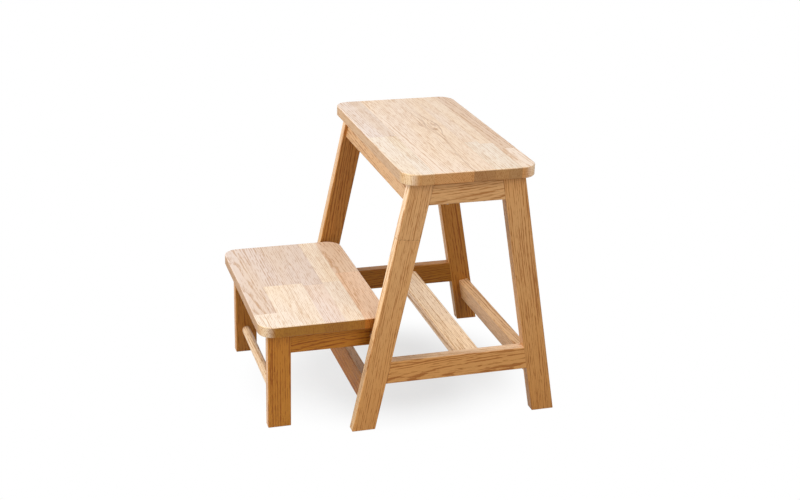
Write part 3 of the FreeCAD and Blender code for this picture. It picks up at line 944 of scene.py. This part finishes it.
# A screw's head: how many times the crown's height it has, how wide the crown is at its top, as a share of
# the head, and how wide an arm of the cross is, as a share of its length.
CROWNS_IN_HEAD, CROWN_TOP, ARM_WIDTH = 3.0, 0.66, 0.26
# A screw's shank: how thick its core and its thread are and how long its tip is, as shares of half its
# width, how wide the tip ends, as a share of the core, and how much of the straight part has a thread.
CORE, THREAD, TIP = 0.8, 0.2, 3.0
POINT, THREADED = 0.05, 0.6
HEAD_FACES, SHANK_FACES, TURN_POINTS = 32, 20, 16
TURN_SEED = 5


def lifted(graph, mesh, height, turn=0.0):
    """A mesh turned about Z and moved up."""
    shift = graph.join(0.0, 0.0, height)
    inputs = {"Geometry": mesh, "Translation": shift, "Rotation": (0.0, 0.0, turn)}
    return graph.add("GeometryNodeTransform", inputs).outputs[0]


def cone(graph, low, high, height, faces):
    """A cone or a straight cylinder, standing on z = 0."""
    inputs = {"Vertices": faces, "Radius Bottom": low, "Radius Top": high, "Depth": height}
    return graph.add("GeometryNodeMeshCone", inputs).outputs["Mesh"]


def screw_head(graph, given):
    """A domed head with a cross recess that goes half way into it."""
    head = graph.math("MULTIPLY", given["Head diameter"], 0.5)
    crown = graph.math("DIVIDE", given["Head height"], CROWNS_IN_HEAD)
    rim = graph.math("SUBTRACT", given["Head height"], crown)
    dome = cone(graph, graph.math("MULTIPLY", head, CROWN_TOP), head, crown, HEAD_FACES)
    plate = lifted(graph, cone(graph, head, head, rim, HEAD_FACES), crown)
    solid = graph.add("GeometryNodeMeshBoolean", operation="UNION", solver="EXACT")
    for part in (dome, plate):
        graph.tree.links.new(part, solid.inputs["Mesh 2"])
    arm_width = graph.math("MULTIPLY", given["Recess"], ARM_WIDTH)
    arm = graph.join(given["Recess"], arm_width, given["Head height"])
    slot = graph.add("GeometryNodeMeshCube", {"Size": arm}).outputs["Mesh"]
    inputs = {"Mesh 1": solid.outputs[0]}
    cut = graph.add("GeometryNodeMeshBoolean", inputs, operation="DIFFERENCE", solver="EXACT")
    for turn in (0.0, pi / 2):
        graph.tree.links.new(lifted(graph, slot, 0.0, turn), cut.inputs["Mesh 2"])
    return cut.outputs["Mesh"]


def screw_shank(graph, given):
    """The shank above the head: a straight part, a point, and a thread that ends where the point starts."""
    shank = graph.math("MULTIPLY", given["Shank diameter"], 0.5)
    tip = graph.math("MULTIPLY", shank, TIP)
    body = graph.math("SUBTRACT", graph.math("SUBTRACT", given["Length"], given["Head height"]), tip)
    core = graph.math("MULTIPLY", shank, CORE)
    stem = lifted(graph, cone(graph, core, core, body, SHANK_FACES), given["Head height"])
    point_base = graph.math("ADD", given["Head height"], body)
    point = cone(graph, core, graph.math("MULTIPLY", core, POINT), tip, SHANK_FACES)
    threaded = graph.math("MULTIPLY", body, THREADED)
    inputs = {
        "Resolution": TURN_POINTS,
        "Rotations": graph.math("DIVIDE", threaded, given["Pitch"]),
        "Start Radius": core,
        "End Radius": core,
        "Height": threaded,
    }
    helix = graph.add("GeometryNodeCurveSpiral", inputs).outputs[0]
    ridge = {"Resolution": 3, "Radius": graph.math("MULTIPLY", shank, THREAD)}
    profile = graph.add("GeometryNodeCurvePrimitiveCircle", ridge).outputs[0]
    swept = {"Curve": helix, "Profile Curve": profile, "Fill Caps": True}
    thread = graph.add("GeometryNodeCurveToMesh", swept).outputs[0]
    thread_base = graph.math("SUBTRACT", point_base, threaded)
    return stem, lifted(graph, point, point_base), lifted(graph, thread, thread_base)


def screw_tree():
    """A wood screw on each vertex, head down, so that the crown of its head is on the vertex."""
    tree = bpy.data.node_groups.new("wood_screws", "GeometryNodeTree")
    sizes = ("Head diameter", "Head height", "Shank diameter", "Pitch", "Recess", "Length")
    add_sockets(
        tree,
        [("Geometry", "NodeSocketGeometry", None)]
        + [(name, "NodeSocketFloat", 0.01) for name in sizes]
        + [("Material", "NodeSocketMaterial", None)],
        [("Geometry", "NodeSocketGeometry")],
    )
    graph = Graph(tree)
    given = graph.add("NodeGroupInput").outputs
    screw = graph.add("GeometryNodeJoinGeometry")
    for part in (screw_head(graph, given), *screw_shank(graph, given)):
        graph.tree.links.new(part, screw.inputs[0])
    points = graph.add("GeometryNodeMeshToPoints", {"Mesh": given["Geometry"]}).outputs[0]
    turns = {"Min": (0.0, 0.0, 0.0), "Max": (0.0, 0.0, pi), "Seed": TURN_SEED}
    spun = graph.add("FunctionNodeRandomValue", turns, data_type="FLOAT_VECTOR").outputs[0]
    inputs = {"Points": points, "Instance": screw.outputs[0], "Rotation": spun}
    placed = graph.add("GeometryNodeInstanceOnPoints", inputs).outputs[0]
    real = graph.add("GeometryNodeRealizeInstances", {"Geometry": placed}).outputs[0]
    inputs = {"Geometry": real, "Material": given["Material"]}
    graph.add("NodeGroupOutput", {"Geometry": graph.add("GeometryNodeSetMaterial", inputs).outputs[0]})
    return tree


def make_screws(name, node, body, tree, material):
    """The four screws of one CAD node, each where the node has it."""
    settings = bpy.context.scene.stool_screw
    low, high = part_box(node)
    inset = settings.head_diameter / 2
    across, along = (low.x + inset, high.x - inset), (low.y + inset, high.y - inset)
    places = [(x, y, low.z) for x in across for y in along]
    mesh = bpy.data.meshes.new(name)
    mesh.from_pydata(places, [], [])
    screws = bpy.data.objects.new(name, mesh)
    bpy.context.scene.collection.objects.link(screws)
    maker = screws.modifiers.new("screws", "NODES")
    maker.node_group = tree
    values = {
        "Head diameter": settings.head_diameter,
        "Head height": settings.head_height,
        "Shank diameter": settings.shank_diameter,
        "Pitch": settings.pitch,
        "Recess": settings.recess,
        "Length": high.z - low.z,
        "Material": material,
    }
    for item in tree.interface.items_tree:
        if item.in_out == "INPUT" and item.name in values:
            maker[item.identifier] = values[item.name]
    make_plain(screws)
    if len(screws.data.polygons) < len(places):
        raise RuntimeError(f"{name} came out without its screws")
    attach(screws, body)
    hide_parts(node)


class STOOL_OT_legs(bpy.types.Operator):
    """Finish the four slanted legs"""

    bl_idname = "stool.legs"
    bl_label = "Legs"

    def execute(self, context):
        finish_bars(LEGS)
        return {"FINISHED"}


class STOOL_OT_aprons(bpy.types.Operator):
    """Finish the four aprons under the seat"""

    bl_idname = "stool.aprons"
    bl_label = "Aprons"

    def execute(self, context):
        finish_bars(APRONS)
        return {"FINISHED"}


class STOOL_OT_stretchers(bpy.types.Operator):
    """Finish the five low stretchers"""

    bl_idname = "stool.stretchers"
    bl_label = "Stretchers"

    def execute(self, context):
        finish_bars(STRETCHERS)
        return {"FINISHED"}


class STOOL_OT_step_frame(bpy.types.Operator):
    """Finish the legs and rails of the lower step"""

    bl_idname = "stool.step_frame"
    bl_label = "Step frame"

    def execute(self, context):
        finish_bars(STEP_BARS)
        return {"FINISHED"}


class STOOL_OT_round_bars(bpy.types.Operator):
    """Finish the foot bar, the pivot rod and its spacer rings"""

    bl_idname = "stool.round_bars"
    bl_label = "Round bars"

    def execute(self, context):
        finish_bars(ROUND_BARS)
        return {"FINISHED"}


class STOOL_OT_seat(bpy.types.Operator):
    """Make the upper board from its staves"""

    bl_idname = "stool.seat"
    bl_label = "Seat board"

    def execute(self, context):
        make_board(SEAT)
        return {"FINISHED"}


class STOOL_OT_tread(bpy.types.Operator):
    """Make the lower board from its staves"""

    bl_idname = "stool.tread"
    bl_label = "Tread board"

    def execute(self, context):
        make_board(TREAD)
        return {"FINISHED"}


class STOOL_OT_screws(bpy.types.Operator):
    """Make the wood screws that hold the two boards"""

    bl_idname = "stool.screws"
    bl_label = "Screws"

    def execute(self, context):
        tree, zinc = screw_tree(), zinc_material()
        make_screws("seat_wood_screws", "seat_screws", STOOL, tree, zinc)
        make_screws("tread_wood_screws", "tread_screws", STEP, tree, zinc)
        return {"FINISHED"}


# Where the two lamps stand and how wide they are.
KEY_PLACE, FILL_PLACE, LAMP_WIDTH = (-0.3, -2.3, 2.1), (2.5, 0.5, 2.1), 1.8


class STOOL_OT_stage(bpy.types.Operator):
    """Make the floor, the lamps and the camera"""

    bl_idname = "stool.stage"
    bl_label = "Stage"

    def execute(self, context):
        settings = context.scene.stool_stage
        make_floor(settings)
        make_sky(context.scene, settings)
        middle = (CAD_BOX[0] + CAD_BOX[1]) / 2
        make_lamp("key_lamp", KEY_PLACE, middle, settings.key)
        make_lamp("fill_lamp", FILL_PLACE, middle, settings.fill)
        make_camera(context.scene, settings)
        context.scene.view_settings.view_transform = "Standard"
        return {"FINISHED"}


def seen_share(graph):
    """1 for a ray that shows the background itself or its reflection, 0 for light on the object."""
    path = graph.add("ShaderNodeLightPath").outputs
    seen = graph.math("MAXIMUM", path["Is Camera Ray"], path["Is Glossy Ray"])
    return graph.math("MAXIMUM", seen, path["Is Transmission Ray"])


# The floor's half width, and from which share of its reach on the shadow is seen less and less.
FLOOR_REACH = 14.0
SHADOW_HOLDS = 0.4


def make_floor(settings):
    """A pale floor that is white to the camera apart from the soft shadow under the stool: the lamps'
    shadow, and a painted shadow of darker grey in a soft ellipse.
    """
    material, graph = new_material("pale_floor")
    matt = graph.add("ShaderNodeBsdfDiffuse", {"Color": colour4(settings.floor_colour)}).outputs[0]
    # Painted shadow: under the stool the camera sees this darker grey floor, fading out over a soft
    # ellipse.
    seen = graph.add("ShaderNodeBsdfDiffuse", {"Color": colour4(settings.painted_shadow_colour)}).outputs[0]
    glow = graph.add("ShaderNodeEmission", {"Color": WHITE, "Strength": 1.0}).outputs[0]
    spot = graph.add("ShaderNodeTexCoord").outputs["Object"]
    spot = graph.vector("SUBTRACT", spot, (*settings.shadow_middle, 0.0))
    away = graph.length(graph.vector("DIVIDE", spot, (*settings.shadow_reach, 1.0)))
    near = graph.ease(away, SHADOW_HOLDS, 1.0, settings.shadow, 0.0)
    veiled = graph.add("ShaderNodeMixShader", {0: near, 1: glow, 2: seen}).outputs[0]
    both = graph.add("ShaderNodeMixShader", {0: seen_share(graph), 1: matt, 2: veiled}).outputs[0]
    graph.add("ShaderNodeOutputMaterial", {"Surface": both})
    low, high = -FLOOR_REACH, FLOOR_REACH
    corners = [(low, low, 0), (high, low, 0), (high, high, 0), (low, high, 0)]
    mesh = bpy.data.meshes.new("floor")
    mesh.from_pydata(corners, [], [(0, 1, 2, 3)])
    mesh.materials.append(material)
    floor = bpy.data.objects.new("floor", mesh)
    bpy.context.scene.collection.objects.link(floor)


def make_sky(scene, settings):
    """Even light from all round, behind a white background."""
    scene.world = bpy.data.worlds.new("studio")
    scene.world.use_nodes = True
    scene.world.node_tree.nodes.clear()
    graph = Graph(scene.world.node_tree)
    strength = graph.ease(seen_share(graph), 0.0, 1.0, settings.sky, 1.0)
    glow = graph.add("ShaderNodeBackground", {"Color": WHITE, "Strength": strength})
    graph.add("ShaderNodeOutputWorld", {"Surface": glow.outputs[0]})


def make_lamp(name, place, target, power):
    """A soft square lamp that looks at a point."""
    lamp = bpy.data.lights.new(name, "AREA")
    lamp.size, lamp.energy = LAMP_WIDTH, power
    holder = bpy.data.objects.new(name, lamp)
    holder.location = place
    holder.rotation_euler = (Vector(place) - target).to_track_quat("Z", "Y").to_euler()
    bpy.context.scene.collection.objects.link(holder)


SENSOR_WIDTH = 36.0


def make_camera(scene, settings):
    """The camera, at the viewing angle of the photograph."""
    flat = cos(settings.elevation)
    back = Vector((sin(settings.azimuth) * flat, -cos(settings.azimuth) * flat, sin(settings.elevation)))
    right = UP.cross(back).normalized()
    turned = Matrix((right, back.cross(right), back)).transposed() @ Matrix.Rotation(settings.roll, 3, "Z")
    camera = bpy.data.cameras.new("camera")
    camera.lens, camera.sensor_width = settings.lens, SENSOR_WIDTH
    camera.shift_x, camera.shift_y = settings.shift
    holder = bpy.data.objects.new("camera", camera)
    place = Vector(settings.target) + back * settings.distance
    holder.matrix_world = Matrix.Translation(place) @ turned.to_4x4()
    scene.collection.objects.link(holder)
    scene.camera = holder


class STOOL_PT_panel(bpy.types.Panel):
    """The stool's pieces, its sizes and its colours"""

    bl_idname = "STOOL_PT_panel"
    bl_label = "Step Stool"
    bl_space_type = "VIEW_3D"
    bl_region_type = "UI"
    bl_category = "Step Stool"

    def draw(self, context):
        for operator in OPERATORS:
            self.layout.operator(operator.bl_idname)
        for name in SETTINGS:
            settings = getattr(context.scene, name)
            box = self.layout.box()
            for prop in settings.bl_rna.properties:
                if prop.identifier not in ("rna_type", "name"):
                    box.prop(settings, prop.identifier)


SETTINGS = {
    "stool_oak": OakSettings,
    "stool_board": BoardSettings,
    "stool_screw": ScrewSettings,
    "stool_stage": StageSettings,
}
OPERATORS = (
    STOOL_OT_legs,
    STOOL_OT_aprons,
    STOOL_OT_stretchers,
    STOOL_OT_step_frame,
    STOOL_OT_round_bars,
    STOOL_OT_seat,
    STOOL_OT_tread,
    STOOL_OT_screws,
    STOOL_OT_stage,
)


def register():
    """Adds the settings, the operators and the panel."""
    for name, kind in SETTINGS.items():
        bpy.utils.register_class(kind)
        setattr(bpy.types.Scene, name, PointerProperty(type=kind))
    for kind in (*OPERATORS, STOOL_PT_panel):
        bpy.utils.register_class(kind)


def unregister():
    """Takes them away again."""
    for kind in reversed((*OPERATORS, STOOL_PT_panel)):
        bpy.utils.unregister_class(kind)
    for name, kind in SETTINGS.items():
        delattr(bpy.types.Scene, name)
        bpy.utils.unregister_class(kind)


def main():
    """Builds the whole stool."""
    register()
    bpy.ops.stool.legs()
    bpy.ops.stool.aprons()
    bpy.ops.stool.stretchers()
    bpy.ops.stool.step_frame()
    bpy.ops.stool.round_bars()
    bpy.ops.stool.seat()
    bpy.ops.stool.tread()
    bpy.ops.stool.screws()
    bpy.ops.stool.stage()


if __name__ == "__main__":
    main()
